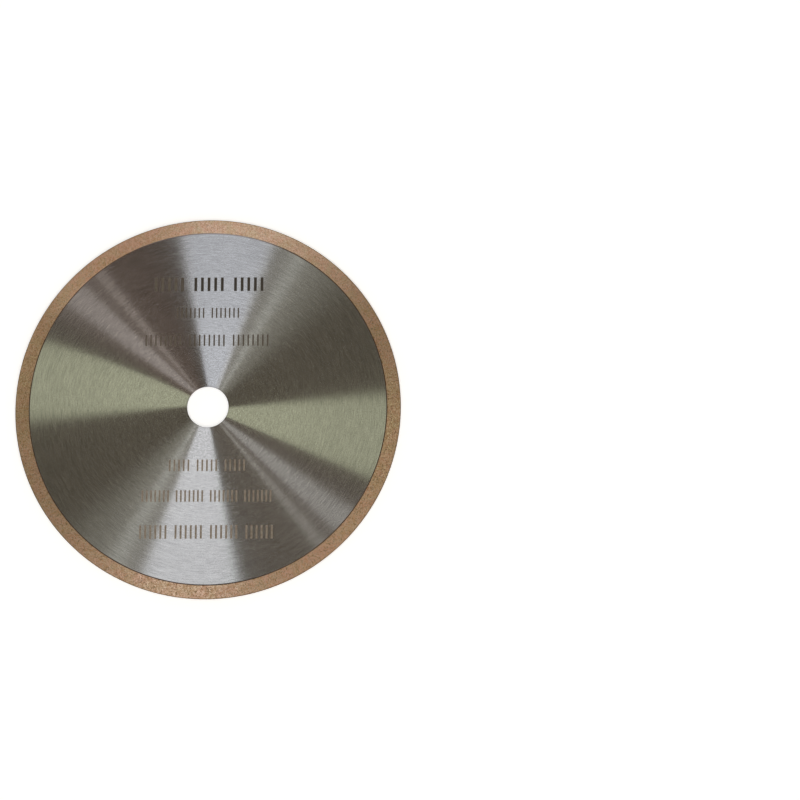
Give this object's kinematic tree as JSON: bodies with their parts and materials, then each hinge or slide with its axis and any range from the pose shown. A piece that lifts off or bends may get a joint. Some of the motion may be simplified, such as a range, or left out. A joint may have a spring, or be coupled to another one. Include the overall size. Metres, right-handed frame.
{
  "type": "wafering blade",
  "caption": "Thin round precision cutting blade: a ground steel core with a plain arbor bore, and a raised sintered bronze-bond diamond rim round its edge.",
  "frame": {"origin": "on the blade's axis at the middle of the arbor bore, midway through the thickness", "axes": "+Z along the blade's axis, out of the face that shows; +X and +Y are radial and equal"},
  "size_m": [0.3, 0.3, 0.002],
  "materials": {
    "ground_steel": "circular ground steel with fine concentric grinding lines",
    "sintered_bronze": "matt sintered bronze bond, dressed, with fine diamond grit"
  },
  "bodies": {
    "root": {"steel_core": "ground_steel", "diamond_rim": "sintered_bronze"}
  },
  "joints": []
}
